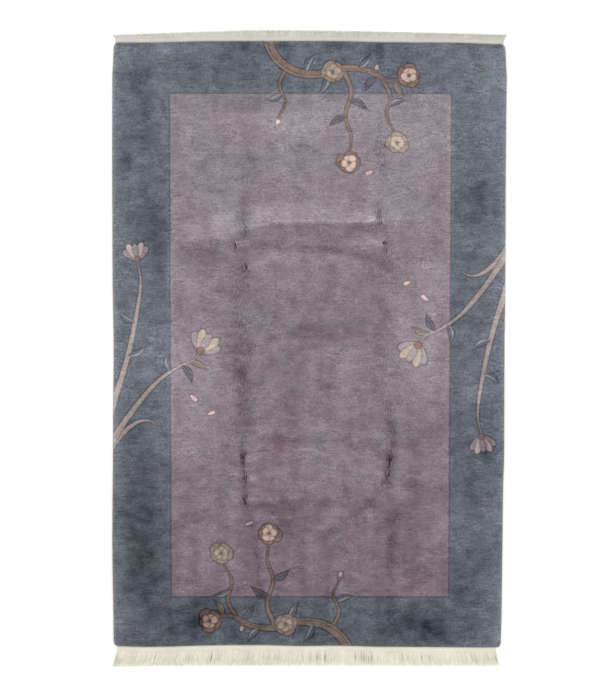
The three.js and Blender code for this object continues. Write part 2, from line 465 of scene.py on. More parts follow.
# reeds that lean in from the middle of the left border, with half-open flowers
sideReeds = dict(
    stems=(
        ((-1050, -560, 32), (-965, -450, 28), (-890, -385, 22), (-825, -370, 13), (-775, -395, 5)),
        ((-1050, -560, 36), (-972, -420, 33), (-872, -280, 28), (-772, -168, 22), (-668, -96, 15),
         (-596, -64, 10), (-561, -24, 7)),
        ((-1050, -440, 36), (-990, -250, 33), (-930, -50, 29), (-885, 160, 24), (-862, 330, 15),
         (-880, 450, 6)),
    ),
    leaves=(
        (-708, -120, 98, 96, 32, 0.25, "pine", "mist"), (-648, -86, -62, 104, 34, 0.2, "pine", "pine"),
        (-612, -74, -22, 96, 30, 0.2, "olive", "tan"), (-928, -40, 28, 104, 32, -0.2, "mist", "slate"),
        (-892, 130, 148, 92, 30, 0.2, "mist", "slate"),
    ),
    openings=(
        (-560, -20, 120, 58, "rust", "lilac", "ivory"), (-879, 450, 96, 100, "rust", "lilac", "blush"),
    ),
    petals=(
        (-610, -240, 52, 28, -40, "blush"), (-520, -340, 46, 26, 20, "peach"),
        (330, 905, 50, 26, 200, "blush"),
    ),
    petalNotch=0.15,
)


def layDesign():
    corners = [np.array(c, float) for c in field["corners"]]
    loop = []
    for a, b in zip(corners, corners[1:] + corners[:1]):
        count = round(np.linalg.norm(b - a) / field["step"])
        loop += [a + (b - a) * k / count for k in range(count)]
    lay("mauve", loop)

    first = len(shapes)
    for rows in sideReeds["stems"]:
        lay("reed", stemLoop(rows))
    for rows in endBranch["stems"]:
        lay("bark", stemLoop(rows))
    lay("tan", stemLoop(endBranch["stems"][-1], *endBranch["strip"]))
    for row in (*endBranch["leaves"], *sideReeds["leaves"]):
        layLeaf(*row)
    for row in sideReeds["openings"]:
        layOpening(*row)
    for row in endBranch["buds"]:
        layBud(*row)
    for row in endBranch["blossoms"]:
        layBlossom(*row)
    for x, y, length, width, turn, yarn in sideReeds["petals"]:
        lay(yarn, turned(petalLoop(length, width, sideReeds["petalNotch"]), x, y, turn))
    for shape in shapes[first:]:
        shapes.append(dict(shape, loop=-shape["loop"]))


# the pile and its weave

pile = dict(
    # how the pile rounds down to its edge: share of the width, and height
    rimWidth=0.027,
    rimRise=((0.0, 0.0086), (0.10, 0.0103), (0.25, 0.0119), (0.5, 0.0133), (0.75, 0.0138), (1.0, 0.014)),
    rimPoints=(0.1, 0.25, 0.5, 0.75, 1.0),
    rimRelief=0.25,           # how much of the folds and grooves is left at the very edge
    # the overcast cord round it: how far out, and height
    cord=((0.0, 0.0), (0.0016, 0.0005), (0.0025, 0.0028), (0.0020, 0.0052), (0.0007, 0.0066),
          (0.0002, 0.0076)),
    # how much painted light the cord round the edge gets
    cordPaintedLight=0.70,
    edgeIn=0.0025,            # the pile's own outline lies this far inside the cord's
    cornerStep=0.0030,        # spacing of the outline's points round the corners
    cornersPerStep=3,         # and this many times as far apart along the sides
    cornerReach=0.045,
    cornerPasses=8,           # smoothing of the outline
    # spacing of the points inside
    gridStep=0.0138,
    gridScatter=0.3,
    gridShare=0.62,           # how near to another point, as a share of the step, one may stand
    gridFrom=1.2,             # the grid starts this many rim widths inside the edge
    creaseStep=0.007,
    creaseShare=0.3,
    narrow=0.011,             # folds that reach less far than this get closer points
    shoulders=(0.0030, 0.0068),
    shoulderShare=0.6,
    shoulderClear=0.85,
    rimClear=0.003,
    # the carving
    grooveWidth=0.0062,
    grooveFall=1.5,
    grooveDepth=0.0048,       # round a motif
    innerDepth=0.0032,        # between two yarns of one motif
    jointDepth=0.0040,        # between the field and the border
    motifRise=0.0007,
    haloPaintedLight=(0.0100, 0.0045, 0.10),    # painted light on the pile just beside a groove: how far off, how broad, its tone
    # the surface
    wear=0.0006,              # how uneven the pile's height is
    wearScales=(9, 31),       # how often that changes a metre, broadly and finely
    weld=2e-5,
    markTone=1.25,            # how strongly the painted light and shade of the folds and the nap places below show
    placeFall=1.5,            # how sharply a nap place ends
    parting=1.6,              # how far the folds painted dark part the pile
    rimPaintedLight=dict(side=(0.66, 0.016), top=(-0.26, 0.030), bottom=(0.12, 0.008)),    # painted light and shade at the edge: tone and reach
    rimGrey=(0.9, 0.009),     # how much colour the outline loses, and over what reach
)

# lines that folding left in the pile, in millimetres: X and Y of the points of each, how far it
# reaches to the left and to the right of its way, how far the pile drops, and its painted tone in
# hundredths, painted light above zero and painted shade below
creaseRows = (
    # down the left
    ((-335, 1560, -330, 780), 22, 22, 1.4, -3),
    ((-342, 840, -340, 760), 22, 22, 1.2, -4),
    ((-336, 730, -344, 690, -330, 600), 24, 24, 2, -16),
    ((-350, 380, -345, -420), 60, 55, 2.2, -16),
    ((-345, -500, -325, -800, -270, -1000, -245, -1260), 18, 18, 1.8, -12),
    ((-245, -1260, -240, -1520), 26, 26, 1.2, -6),
    ((-334, 660, -331, 620, -328, 575), 6, 6, 1.6, -14),
    ((-345, -480, -347, -540, -336, -640, -331, -720, -322, -800), 6, 6, 1.4, -12),
    # down the right
    ((362, 1560, 366, 1100), 22, 22, 1.4, -6),
    ((372, 1030, 376, 930), 34, 34, 1.4, -22),
    ((368, 900, 360, 700), 20, 20, 1, -6),
    ((390, 400, 382, -250), 50, 50, 2, -10),
    ((390, -280, 430, -450, 412, -560), 28, 28, 2.2, -16),
    ((408, -580, 402, -680), 22, 22, 2.6, -13),
    ((400, -660, 365, -730, 313, -790), 24, 24, 1.4, -15),
    ((300, -800, 200, -880, 75, -970), 24, 26, 1.2, -12),
    ((145, -850, 95, -885, 30, -935), 12, 16, -0.6, 16),
    ((430, -840, 420, -1100, 430, -1520), 26, 26, 1.4, -12),
    ((358, 760, 356, 700), 16, 16, 0.6, -14),
    ((388, 500, 384, 450), 14, 14, 0.8, -14),
    ((428, -375, 437, -460, 410, -560, 402, -660), 6, 6, 1.4, -5),
    ((359, -530, 449, -562), 6, 6, 1, -16),
    ((392, -668, 342, -727), 6, 6, 1, -16),
    # across, with painted light on the pile above the fold and painted shade below it
    ((-310, 610, -200, 635, -80, 647, 100, 642, 352, 648), 60, 7, -1.6, 19),
    ((-310, 604, -200, 629, -80, 641, 100, 636, 352, 642), 7, 80, 2, -15),
    ((-310, 616, -200, 640, -80, 652, 100, 647, 240, 649), 6, 5, -1, 10),
    ((200, 645, 280, 648, 345, 653), 5, 5, -1.2, 34),
    ((-260, 530, -100, 507, 100, 502, 240, 482, 330, 455, 400, 410), 20, 14, 1.6, -22),
    ((-280, 430, -200, 468, 20, 465, 220, 452), 14, 34, 0, 14),
    ((220, 535, 360, 545), 16, 16, 0, 20),
    ((-200, 410, -100, 410), 14, 14, 0, -10),
    ((-720, 530, -400, 540), 12, 70, 1.2, -10),
    ((-200, 55, 250, 55), 60, 12, 0, -10),
    ((-220, -412, -50, -400, 250, -418), 18, 22, 0, 13),
    ((-250, -472, 200, -472), 18, 18, 0, -12),
    ((-50, -515, 20, -518, 80, -542), 6, 8, -0.8, 26),
    ((285, -835, 308, -850, 300, -880), 6, 6, -0.6, 20),
    ((215, -525, 262, -560), 8, 10, 0, 16),
    ((-120, -352, -70, -362), 6, 6, 0, 18),
    ((-290, -795, -100, -785, 60, -775), 10, 40, 1, -15),
    ((60, -785, 300, -780), 12, 20, 0, -6),
    # painted light beside the joints of field and side borders
    ((726, 1250, 722, 500, 716, -200), 8, 24, 0, 18),
    ((-713, 550, -710, -500), 24, 10, 0, 16),
)

# places where the pile's nap is painted lighter or darker, as painted light and shade: x, y and the
# reach along each in millimetres, and the tone in hundredths, which adds up where they meet
napLightRows = (
    # broad places
    (30, 0, 330, 550, -5), (0, -1050, 700, 300, -6), (570, -860, 150, 280, -12), (600, 250, 120, 420, 6),
    (0, 1200, 640, 130, 13), (-300, 1240, 160, 80, -6), (300, 860, 160, 100, 8), (860, 300, 140, 900, -3),
    # upper part of the field
    (20, 700, 330, 60, 12), (-220, 695, 80, 50, 14), (280, 668, 70, 30, 14), (-170, 472, 50, 30, 12),
    (-270, 672, 35, 20, 14), (-280, 595, 40, 12, 14), (-590, 600, 60, 60, 24), (-450, 625, 60, 80, 34),
    (430, 660, 35, 60, 20), (520, 1060, 100, 80, 16), (-150, 1150, 110, 80, 12), (150, 1200, 240, 100, 6),
    (-300, 940, 60, 60, -14), (660, 1060, 70, 120, 8), (-500, 900, 120, 160, -6),
    (-560, 450, 130, 80, -16), (-480, 470, 50, 30, -12), (-600, 310, 90, 60, 10), (570, 500, 120, 60, -7),
    (356, 672, 14, 30, -20), (-310, 430, 50, 40, -9),
    # middle of the field
    (620, 330, 70, 110, 16), (480, 150, 35, 120, 14), (570, 30, 140, 200, 18), (580, -200, 140, 150, 14),
    (600, 50, 70, 60, 10), (30, 90, 120, 50, -9), (-330, 490, 50, 60, -10), (-250, 190, 90, 100, -12),
    (-450, -240, 50, 60, 9), (130, 250, 70, 50, -10), (-340, 0, 60, 50, -12), (-600, 20, 130, 140, 14),
    (-600, -200, 130, 180, 24), (-480, -30, 30, 140, 14), (-570, -450, 150, 130, 16),
    (-200, -230, 35, 50, 18), (230, -220, 70, 60, 12), (220, -50, 80, 90, 10), (80, -130, 45, 90, -12),
    (-250, -60, 40, 30, 12), (-350, -130, 40, 40, -12), (-310, -360, 40, 50, -14), (430, 280, 40, 80, 7),
    (310, 30, 50, 70, 6),
    # lower part of the field
    (330, -520, 80, 80, -7), (-280, -600, 50, 120, -5), (-70, -610, 50, 50, -5), (-160, -640, 50, 30, 18),
    (230, -640, 30, 50, 10), (80, -640, 50, 20, 12), (0, -620, 270, 100, 5), (600, -450, 70, 60, -14),
    (500, -540, 30, 30, 8), (408, -575, 34, 60, -17), (420, -430, 50, 80, -10), (-330, -600, 30, 120, -7),
    (200, -1030, 70, 80, -6), (400, -1120, 100, 80, -5), (450, -740, 40, 30, 18),
    (-80, -880, 220, 100, -10), (-290, -672, 25, 20, 18), (550, -950, 120, 80, -5),
    (-500, -1150, 150, 100, 6), (150, -1230, 80, 30, 10), (580, -1190, 100, 60, -8),
    # left border
    (-860, 1250, 160, 300, -8), (-820, 620, 120, 200, -8), (-770, -700, 60, 220, -12),
    (-930, 940, 40, 50, -28), (-880, 1400, 80, 80, -16), (-840, 1250, 50, 70, -12),
    (-860, 980, 40, 40, 14), (-900, 880, 60, 40, 16), (-790, 600, 70, 180, -22), (-930, 500, 50, 140, 10),
    (-800, 400, 50, 60, -10), (-900, 100, 80, 120, 8), (-860, -100, 150, 240, 14),
    (-820, -250, 50, 50, -10), (-800, -600, 70, 50, -12), (-950, -720, 50, 50, 14),
    (-800, -1100, 110, 250, -14), (-950, -1350, 50, 80, 8), (-940, 1060, 40, 160, -10),
    (-870, 460, 100, 100, -7), (-930, 200, 50, 160, -8), (-930, -1220, 50, 100, -14),
    # right border
    (920, 1300, 60, 180, 18), (750, 1100, 50, 60, -10), (840, 770, 100, 80, -20), (780, 660, 70, 50, -14),
    (800, 470, 80, 25, -16), (930, 480, 50, 50, 12), (820, 400, 120, 25, 12), (750, 120, 40, 60, -12),
    (950, -150, 40, 50, -14), (850, -240, 100, 60, 18), (920, -500, 40, 80, -20), (850, -570, 50, 30, 16),
    (760, -450, 50, 150, -14), (760, -680, 60, 60, -12), (760, -1250, 60, 60, -14),
    (920, -1200, 50, 80, 10),
    # end borders
    (0, 1430, 800, 150, -19), (0, -1400, 850, 140, -14), (-860, -1250, 150, 300, -12),
    (-600, 1530, 250, 30, 14), (-320, 1530, 30, 30, -22), (-300, 1540, 200, 30, -12),
    (120, 1540, 100, 20, -18), (363, 1520, 25, 50, -32), (300, 1430, 100, 50, 10),
    (-500, -1320, 120, 60, -18), (-280, -1380, 80, 30, 14), (100, -1340, 160, 40, 10),
    (500, -1410, 120, 50, -12), (600, -1450, 40, 60, -12), (-100, 1500, 200, 50, -5),
    (300, 1500, 60, 50, -8),
    # broad places round the border
    (-870, 980, 130, 500, -15), (-870, -800, 130, 240, -24), (870, 800, 130, 240, -7),
    (880, 1400, 130, 120, 7), (870, -90, 120, 220, 6), (870, -570, 120, 220, -9),
    (870, -910, 120, 110, 8), (870, -1140, 120, 100, -6), (880, -1430, 120, 110, 6),
    (620, -1430, 120, 110, -24), (360, -1430, 100, 110, 8), (-600, -1430, 110, 110, -28),
    (-860, -1430, 110, 100, 8), (-500, 1440, 260, 110, -12),
    # and in the field
    (620, -940, 90, 170, 17), (620, 900, 80, 100, 12), (440, 1060, 80, 70, 10),
    (-250, 1240, 450, 60, -13), (-430, -230, 70, 80, 12), (-620, -540, 80, 80, 13),
    (440, 250, 60, 80, 12), (-450, -1210, 250, 60, -9),
)

# small knots where two folds met, each a smudge of painted shade with one of painted light beside it: x, y,
# the side of the light smudge beside the dark one, the length of the dark one, and how strong both are; x,
# y and length in millimetres
knotRows = (
    (358, 662, -1, 30, 1.6), (389, 532, -1, 48, 1.3), (-378, 532, 1, 36, 1.6), (-326, 412, 1, 20, 0.9),
    (-337, -563, 1, 30, 1.3), (-326, -660, 1, 24, 1.0), (-331, -778, 1, 26, 1.0),
    (412, -580, -1, 40, 0.8), (402, -640, -1, 20, 0.5),
)
# the smudges: reach, the pile's drop, painted shade, painted light, how far apart, and how far the pile
# parts
knotLook = dict(reach=0.016, drop=0.0024, dark=-0.25, light=0.20, apart=0.026, parted=0.65)

creases = [(np.reshape(line, (-1, 2)) / 1000, left / 1000, right / 1000, drop / 1000, tone / 100)
           for line, left, right, drop, tone in creaseRows]
napLightPlaces = [(*np.array(row[:4]) / 1000, row[4] / 100) for row in napLightRows]
creaseKnots = [(x / 1000, y / 1000, side, length / 1000, strength)
               for x, y, side, length, strength in knotRows]


def roundTrip(follow):
    # the points of a closed line, from a table of which one follows which; it starts at the lowest
    # one, so that it is the same in every run
    start = here = min(follow)
    trip = []
    while True:
        trip.append(here)
        here = follow[here]
        if here == start:
            return trip


def rugOutline(node):
    # the foot of the CAD body's wall, as even points that stand closer round the corners
    cad = bmesh.new()
    cad.from_mesh(node.data)
    bmesh.ops.remove_doubles(cad, verts=cad.verts, dist=1e-6)
    flat = {f for f in cad.faces if all(v.co.z < 1e-5 for v in f.verts)}
    follow = {}
    for face in flat:
        for loop in face.loops:
            if any(other not in flat for other in loop.edge.link_faces):
                follow[loop.link_loop_next.vert.co.xy.to_tuple(6)] = loop.vert.co.xy.to_tuple(6)
    corners = roundTrip(follow)
    cad.free()
    ring = np.array([*corners, corners[0]])
    reach = np.concatenate([[0], np.cumsum(np.linalg.norm(np.diff(ring, axis=0), axis=1))])
    count = round(reach[-1] / pile["cornerStep"])
    at = np.arange(count) / count * reach[-1]
    line = np.stack([np.interp(at, reach, ring[:, 0]), np.interp(at, reach, ring[:, 1])], 1)
    for _ in range(pile["cornerPasses"]):
        line = (np.roll(line, 1, 0) + 2 * line + np.roll(line, -1, 0)) / 4
    inward = np.minimum(line - line.min(0), line.max(0) - line)
    atCorner = (inward < pile["cornerReach"]).all(1)
    return line[atCorner | (np.arange(count) % pile["cornersPerStep"] == 0)]


def outward(loop):
    way = np.roll(loop, -1, 0) - np.roll(loop, 1, 0)
    way /= np.linalg.norm(way, axis=1, keepdims=True)
    return np.stack([way[:, 1], -way[:, 0]], 1)


def triangulate(loops, loose=()):
    # triangles inside the first loop, each with the number of the topmost loop round it
    coords = [Vector(p) for loop in loops for p in loop]
    ends = np.cumsum([len(loop) for loop in loops])
    faces = [list(range(end - len(loop), end)) for loop, end in zip(loops, ends)]
    coords += [Vector(p) for p in loose]
    found = geometry.delaunay_2d_cdt(coords, [], faces, 0, 1e-6, True)
    points = np.array([tuple(p) for p in found[0]])
    kept = [(tri, max(owners)) for tri, owners in zip(found[2], found[5]) if 0 in owners]
    return points, np.array([tri for tri, _ in kept]), np.array([owner for _, owner in kept])


def areaEdges(triangles, owners):
    # edges between two yarn areas, and the edges of the whole
    sides = {}
    for tri, owner in zip(triangles.tolist(), owners.tolist()):
        for a, b in zip(tri, tri[1:] + tri[:1]):
            sides.setdefault((min(a, b), max(a, b)), []).append(owner)
    between = [(edge, who) for edge, who in sides.items() if len(who) == 2 and who[0] != who[1]]
    return between, {edge for edge, who in sides.items() if len(who) == 1}


def spaced(candidates, taken, gap):
    # the candidates that keep the gap from what is taken and from each other
    cells = {}

    def cellOf(p):
        return int(p[0] // gap), int(p[1] // gap)

    def near(p):
        i, j = cellOf(p)
        around = (cells.get((i + a, j + b), ()) for a in (-1, 0, 1) for b in (-1, 0, 1))
        return any((p[0] - q[0]) ** 2 + (p[1] - q[1]) ** 2 < gap * gap for cell in around for q in cell)

    for p in taken:
        cells.setdefault(cellOf(p), []).append(p)
    kept = []
    for p in candidates:
        if not near(p):
            cells.setdefault(cellOf(p), []).append(p)
            kept.append(p)
    return kept


def treeOf(points):
    tree = kdtree.KDTree(len(points))
    for k, p in enumerate(points):
        tree.insert((p[0], p[1], 0), k)
    tree.balance()
    return tree


def beside(points, line, left, right):
    # 1 on a line of x and y, falling away over the reach on each side of it
    nearest, aside = np.full(len(points), 9.0), np.zeros(len(points))
    for start, end in zip(np.array(line), np.array(line[1:])):
        way = end - start
        share = np.clip((points - start) @ way / (way @ way), 0, 1)
        gap = points - start - share[:, None] * way
        distance = np.linalg.norm(gap, axis=1)
        closer = distance < nearest
        nearest[closer] = distance[closer]
        aside[closer] = (way[0] * gap[:, 1] - way[1] * gap[:, 0])[closer]
    return np.exp(-(nearest / np.where(aside > 0, left, right)) ** 2)


def creaseShape(points):
    # how far the creases lower the pile at each point, how they change its tone with painted light and
    # shade, and where they part it
    drop, napPaintedLight, parted = np.zeros((3, len(points)))
    for line, left, right, depth, tone in creases:
        weight = beside(points, line, left, right)
        drop += depth * weight
        napPaintedLight += tone * weight
        across, along = np.abs(np.subtract(line[-1], line[0]))
        parted += pile["parting"] * max(0, -tone) * weight * along / math.hypot(across, along)
    for x, y, reachX, reachY, tone in napLightPlaces:
        away = (((points - (x, y)) / (reachX, reachY)) ** 2).sum(1)
        napPaintedLight += tone * np.exp(-away ** pile["placeFall"])
    look = knotLook
    reach = look["reach"]
    for x, y, side, length, strength in creaseKnots:
        dark = strength * beside(points, ((x, y - length / 2), (x, y + length / 2)), reach, reach)
        middle = x + side * look["apart"]
        light = strength * beside(points, ((middle, y), (middle + side * look["apart"], y)), reach, reach)
        drop += look["drop"] * dark
        napPaintedLight += look["dark"] * dark + look["light"] * light
        parted += look["parted"] * dark
    return drop, napPaintedLight * pile["markTone"], parted


def creasePoints():
    # closer points along narrow folds and round the knots
    step, close = pile["creaseStep"], []
    for line, left, right, _, _ in creases:
        reach = min(left, right)
        if reach > pile["narrow"]:
            continue
        for start, end in zip(np.array(line), np.array(line[1:])):
            length = math.dist(start, end)
            way = (end - start) / length
            for k in range(int(length / step)):
                x, y = start + way * step * k
                close += [(x - way[1] * aside, y + way[0] * aside) for aside in np.arange(-2, 3) * reach]
    for x, y, side, *_ in creaseKnots:
        # a patch that covers the dark smudge and the light one beside it
        close += [(x + side * step * i, y + step * j) for i in range(-3, 9) for j in range(-5, 6)]
    return close


def rimTone(outline, points, edgeTree):
    # painted light and shade at the edge: the pile is painted lighter towards the sides, darker or lighter
    # towards the ends, and it is greyer at both
    normals = outward(outline)
    tone, grey = np.zeros((2, len(points)))
    most, fades = pile["rimGrey"]
    for k, p in enumerate(points):
        _, at, distance = edgeTree.find((*p, 0))
        n = normals[at]
        place = "side" if abs(n[0]) > abs(n[1]) else "top" if n[1] > 0 else "bottom"
        amount, reach = pile["rimPaintedLight"][place]
        tone[k] = amount * math.exp(-distance / reach)
        grey[k] = most * math.exp(-distance / fades)
    return tone, grey


def pointsInside(outline, carvedTree, edgeTree, taken, shoulders):
    # loose points: beside the grooves, along the folds, inside the edge, and a scattered grid
    step, gap = pile["gridStep"], pile["rimWidth"]
    inside = spaced(shoulders, [], pile["shoulders"][0] * pile["shoulderShare"])
    inside += spaced(creasePoints(), taken + inside, step * pile["creaseShare"])
    edge = list(zip(outline, outward(outline)))
    rim = [tuple(p - n * share * gap) for share in pile["rimPoints"] for p, n in edge]
    inside += [p for p in rim if carvedTree.find((*p, 0))[2] > pile["rimClear"]]
    low, high = outline.min(0), outline.max(0)
    scatter = pile["gridScatter"]
    grid = []
    for j in range(int((high[1] - low[1]) / step)):
        for i in range(int((high[0] - low[0]) / step)):
            # every other row is half a step aside
            along = i + 0.5 * (j % 2) + scatter * noise.noise((i * 0.7, j * 0.9, 0.5))
            up = j + 0.5 + scatter * noise.noise((i * 0.9, j * 0.7, 3.5))
            grid.append((low[0] + step * along, low[1] + step * up))
    grid = [p for p in grid if edgeTree.find((*p, 0))[2] > gap * pile["gridFrom"]]
    return inside + spaced(grid, taken + inside, step * pile["gridShare"])


def makeRugCloth(foot):
    outline = foot - outward(foot) * pile["edgeIn"]
    layDesign()
    loops = [outline, *(shape["loop"] for shape in shapes)]
    points, triangles, owners = triangulate(loops)
    between, _ = areaEdges(triangles, owners)
    print("yarn areas:", len(shapes), "carved edges:", len(between))

    carved, depths, shoulders = [], [], []
    for (a, b), who in between:
        # owner 0 is the border and owner 1 the field
        depth = pile["jointDepth" if max(who) == 1 else "innerDepth" if min(who) > 1 else "grooveDepth"]
        start, way = points[a], points[b] - points[a]
        carved += [start, start + way / 3, start + way * 2 / 3, start + way]
        depths += [depth] * 4
        across = np.array([way[1], -way[0]]) / np.linalg.norm(way)
        shoulders += [(start + way / 2 + across * reach * side, reach)
                      for reach in pile["shoulders"] for side in (1, -1)]
    carvedTree, edgeTree = treeOf(carved), treeOf(outline)
    clear = pile["shoulderClear"]
    shoulders = [tuple(p) for p, reach in shoulders if carvedTree.find((*p, 0))[2] > reach * clear]
    used = sorted({k for edge, _ in between for k in edge})
    taken = [tuple(points[k]) for k in used] + [tuple(p) for p in outline]
    inside = pointsInside(outline, carvedTree, edgeTree, taken, shoulders)
    points, triangles, owners = triangulate(loops, inside)
    print("pile points:", len(points), "triangles:", len(triangles))

    nearest = [carvedTree.find((*p, 0)) for p in points]
    away = np.array([found[2] for found in nearest])
    depth = np.array([depths[found[1]] for found in nearest])
    groove = np.clip(1 - away / pile["grooveWidth"], 0, 1) ** pile["grooveFall"]
    fromEdge = np.array([edgeTree.find((*p, 0))[2] for p in points]) / pile["rimWidth"]
    level = np.interp(fromEdge, *zip(*pile["rimRise"]))
    drop, napPaintedLight, parted = creaseShape(points)
    broad, fine = pile["wearScales"]
    uneven = np.array([noise.noise((x * broad, y * broad, 0)) + 0.5 * noise.noise((x * fine, y * fine, 4))
                       for x, y in points])
    raised = np.zeros(len(points))
    raised[triangles[owners > 1]] = pile["motifRise"]
    relief = drop + depth * groove - uneven * pile["wear"] - raised * (1 - groove)
    height = level - relief * (pile["rimRelief"] + (1 - pile["rimRelief"]) * np.clip(fromEdge, 0, 1))
    # painted light beside the grooves, and painted light and shade at the edge of the rug
    haloAt, haloReach, haloTone = pile["haloPaintedLight"]
    haloPaintedLight = haloTone * np.exp(-((away - haloAt) / haloReach) ** 2) * depth / pile["grooveDepth"]
    edgePaintedLight, grey = rimTone(outline, points, edgeTree)
    napPaintedLight += haloPaintedLight + edgePaintedLight

    _, rimEdges = areaEdges(triangles, owners)
    loop = walkLoop(rimEdges, triangles)
    ring = points[loop]
    out = outward(ring)
    mesh = bmesh.new()
    layers = [mesh.verts.layers.float.new(name) for name in ("napPaintedLight", "groove", "parted", "rim")]
    top = [mesh.verts.new((x, y, z)) for (x, y), z in zip(points, height)]
    for vert, *values in zip(top, napPaintedLight, groove * depth / pile["grooveDepth"], parted, grey):
        for layer, value in zip(layers, values):
            vert[layer] = value
    yarnNames = list(yarns)
    slots = [yarnNames.index("slate"), *(yarnNames.index(shape["yarn"]) for shape in shapes)]
    for tri, owner in zip(triangles.tolist(), owners.tolist()):
        mesh.faces.new([top[k] for k in tri]).material_index = slots[owner]
    upper = [top[k] for k in loop]
    for reach, z in reversed(pile["cord"]):
        lower = [mesh.verts.new((*(p + n * reach), z)) for p, n in zip(ring, out)]
        for vert in lower:
            # the cord is painted lighter, as painted light on its sides, and greyed
            vert[layers[0]], vert[layers[3]] = pile["cordPaintedLight"], pile["rimGrey"][0]
        for k in range(len(loop)):
            after = (k + 1) % len(loop)
            mesh.faces.new((lower[k], lower[after], upper[after], upper[k])).material_index = slots[0]
        upper = lower
    under, underTriangles, underOwners = triangulate([ring, *loops[1:]])
    back = [mesh.verts.new((*p, 0)) for p in under]
    for tri, owner in zip(underTriangles.tolist(), underOwners.tolist()):
        mesh.faces.new([back[k] for k in reversed(tri)]).material_index = slots[owner]
    bmesh.ops.remove_doubles(mesh, verts=upper + back, dist=pile["weld"])
    stray = [v for v in mesh.verts if not v.link_faces]
    bmesh.ops.delete(mesh, geom=stray, context="VERTS")
    print("open edges:", sum(not e.is_manifold for e in mesh.edges), "faces:", len(mesh.faces))
    data = bpy.data.meshes.new("rugCloth")
    mesh.to_mesh(data)
    mesh.free()
    return data


def walkLoop(edges, triangles):
    # the points round the outside, in the order of the triangles' own direction
    follow = {}
    for tri in triangles.tolist():
        for a, b in zip(tri, tri[1:] + tri[:1]):
            if (min(a, b), max(a, b)) in edges:
                follow[a] = b
    return roundTrip(follow)


def addPiece(name, data, materials):
    piece = bpy.data.objects.new(name, data)
    bpy.context.scene.collection.objects.link(piece)
    for material in materials:
        data.materials.append(material)
    bpy.ops.object.select_all(action="DESELECT")
    piece.select_set(True)
    bpy.context.view_layer.objects.active = piece
    bpy.ops.object.shade_smooth_by_angle(angle=math.radians(60))
    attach(piece, "root")
    return piece


rugFoot = rugOutline(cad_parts["rug_body"])
rugCloth = addPiece("carved_pile_cloth", makeRugCloth(rugFoot), list(pileMaterials.values()))
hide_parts("rug_body")
print("rug cloth made")

# the fringe: a flat-woven heading, then the free warp ends

fringe = dict(
    endsBeyond=1.45,       # the rug's outline counts as an end past this Y
    gap=0.0004,            # between the pile's foot and the heading
    headingStep=0.008,
    headingRise=(0.0012, 0.0030, 0.0034, 0.0034, 0.0032, 0.0030, 0.0024, 0.0008),
    headingTone=-0.04,
    edgeWaves=(60, 0.002),       # of the heading's edge: how many a metre, and how far
    weave=(90, 0.8, 0.0003),     # its bumps: how many a metre, along a row and across, and how high
    pitch=0.0020,          # from one strand to the next
    sides=5,
    stations=(0.0, 0.18, 0.36, 0.54, 0.72, 0.88, 1.0),
    radius=(0.0013, 0.0014, 0.0014, 0.0013, 0.0012, 0.0010, 0.0003),
    flatness=(1.1, 0.9),   # how much broader and lower than round a strand is
    inHeading=0.005,       # how far inside the heading a strand starts
    bundle=5,              # about how many strands keep together
    pull=0.05,
    astray=0.0006,         # how far a tip strays from its place
    bend=1.3,
    sway=0.0010,
    swayTurns=5,
    swayStart=(0, 6.28),
    lift=(0.0004, 0.0018, 0.6),    # least, how much more at most, and how much of that goes by the tip
    wave=0.0005,
    waveTurns=4,
    ownTone=0.04,
    partRange=(0.3, 1.3),          # how unlike the shadows between two bundles are
    partPatches=(9, 0.1, 0.55, 1.6),    # patches of shadow: how many a metre, least, middle, strength
    part=(0.0, 0.36, 0.58, 0.80),       # how far down a shadow starts, is full, and fades
    partShares=(0.1, 1.0, 1.0, 0.15),
    paleFrom=0.68,         # the frayed ends are paler from here
    paleTone=0.14,
    seed=4,
)
fringeEnds = dict(
    top=dict(
        node="fringe_top", way=1, heading=0.027, short=0.0022, lean=0.0006, parting=0.26,
        shades=((205, 205, 193), (208, 204, 195)),
        atPile=(-0.992, 0.994), atTips=(-1.008, 1.014),
        tips=((-1.010, 1.606), (-0.850, 1.612), (-0.480, 1.625), (-0.280, 1.631), (0.130, 1.627),
              (0.600, 1.617), (1.010, 1.606)),
    ),
    bottom=dict(
        node="fringe_bottom", way=-1, heading=0.028, short=0.0032, lean=0.0011, parting=0.55,
        shades=((228, 227, 209), (230, 224, 211)),
        atPile=(-0.984, 0.957), atTips=(-1.012, 0.979),
        tips=((-1.010, -1.635), (-0.800, -1.631), (0.0, -1.629), (1.000, -1.633)),
    ),
)

cottonLook = dict(
    # each: features a metre along X, Y and Z, strength, detail, roughness
    fibres=((900, 60, 300), 0.5, 2, 0.6),
    stain=((9, 14, 9), 0.35, 3, 0.6),
    aged=((5, 3, 5), 3.2, 2, 0.6),
    roughness=0.9,
    shine=0.2,
    bumpStrength=0.8,
    bumpHeight=0.0006,
)


def makeCotton(name, shades):
    look = cottonLook
    material, shader = newMaterial(name, look["roughness"], look["shine"])
    tree = material.node_tree
    place = addNode(tree, "ShaderNodeTexCoord").outputs["Object"]
    fibres, stain, aged = (addNoise(tree, place, *look[part]) for part in ("fibres", "stain", "aged"))
    tone = plus(tree, plus(tree, fibres, stain), plus(tree, readMark(tree, "strand"), 1.0))
    dyed = addNode(tree, "ShaderNodeMix", data_type="RGBA")
    for socket, shade in zip("AB", shades):
        dyed.inputs[socket].default_value = (*fromScreen(shade), 1)
    tree.links.new(plus(tree, aged, 0.5), dyed.inputs["Factor"])
    shaded = addNode(tree, "ShaderNodeVectorMath", operation="SCALE")
    tree.links.new(dyed.outputs["Result"], shaded.inputs[0])
    tree.links.new(tone, shaded.inputs["Scale"])
    tree.links.new(shaded.outputs["Vector"], shader.inputs["Base Color"])
    addBump(tree, shader, fibres, look["bumpStrength"], look["bumpHeight"])
    return material


